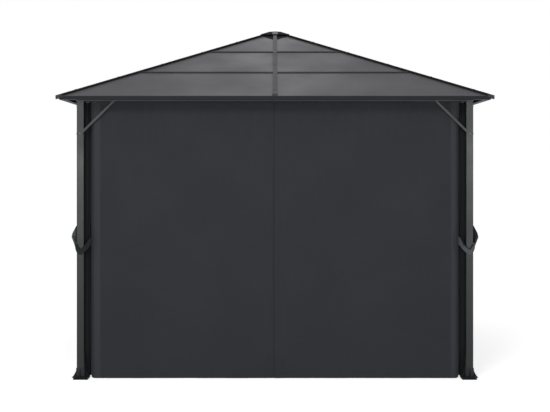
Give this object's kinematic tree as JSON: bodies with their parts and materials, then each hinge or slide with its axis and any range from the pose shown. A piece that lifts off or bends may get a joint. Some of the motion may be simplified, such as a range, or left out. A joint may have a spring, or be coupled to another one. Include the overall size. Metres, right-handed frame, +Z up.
{
  "type": "gazebo",
  "caption": "Square garden gazebo: four slim metal posts carry a hipped sheet roof with covered hips, and side curtains hang closed at front and back and tied back at the open sides.",
  "frame": {"origin": "on the ground, under the point of the roof, at the bottom centre of the whole gazebo", "axes": "+X to the right as seen from the front, +Y to the back, +Z up; the front is the closed side at -Y"},
  "size_m": [3, 3, 2.5913],
  "materials": {
    "frame_metal": "satin grey powder coat",
    "beam_metal": "satin grey powder coat",
    "foot_metal": "matte dark grey powder coat",
    "rib_metal": "satin coated steel cover",
    "fascia_metal": "dark grey powder coat",
    "rafter_metal": "satin grey powder coat",
    "roof_sheet": "satin coated steel sheet",
    "dark_trim": "dark satin coating",
    "end_caps": "moulded, fine texture",
    "curtain_cloth": "plain woven polyester",
    "gathered_cloth": "plain woven polyester, gathered",
    "tie_webbing": "doubled polyester ribbon"
  },
  "bodies": {
    "root": {"beam_back": "beam_metal", "beam_front": "beam_metal", "beam_left": "beam_metal", "beam_right": "beam_metal", "brace_back_left": "frame_metal", "brace_back_right": "frame_metal", "brace_front_left": "frame_metal", "brace_front_right": "frame_metal", "cap_flashing": "dark_trim", "cap_straps": "roof_sheet", "curtain_back_left": "curtain_cloth", "curtain_back_right": "curtain_cloth", "curtain_front_left": "curtain_cloth", "curtain_front_right": "curtain_cloth", "curtain_rails": "fascia_metal", "curtain_tie_back_left": "tie_webbing", "curtain_tie_back_right": "tie_webbing", "curtain_tie_front_left": "tie_webbing", "curtain_tie_front_right": "tie_webbing", "eave_fascia": "fascia_metal", "foot_back_left": "foot_metal", "foot_back_right": "foot_metal", "foot_front_left": "foot_metal", "foot_front_right": "foot_metal", "gathered_curtain_back_left": "gathered_cloth", "gathered_curtain_back_right": "gathered_cloth", "gathered_curtain_front_left": "gathered_cloth", "gathered_curtain_front_right": "gathered_cloth", "hip_covers": "dark_trim", "hip_ends": "end_caps", "hip_rafters": "rafter_metal", "mid_rafters": "rafter_metal", "post_back_left": "frame_metal", "post_back_right": "frame_metal", "post_front_left": "frame_metal", "post_front_right": "frame_metal", "purlins": "rafter_metal", "rib_ends": "end_caps", "roof_cap": "dark_trim", "roof_hub": "rafter_metal", "roof_panels_back": "roof_sheet", "roof_panels_front": "roof_sheet", "roof_panels_left": "roof_sheet", "roof_panels_right": "roof_sheet", "roof_ribs": "rib_metal", "row_strips": "fascia_metal"}
  },
  "joints": []
}
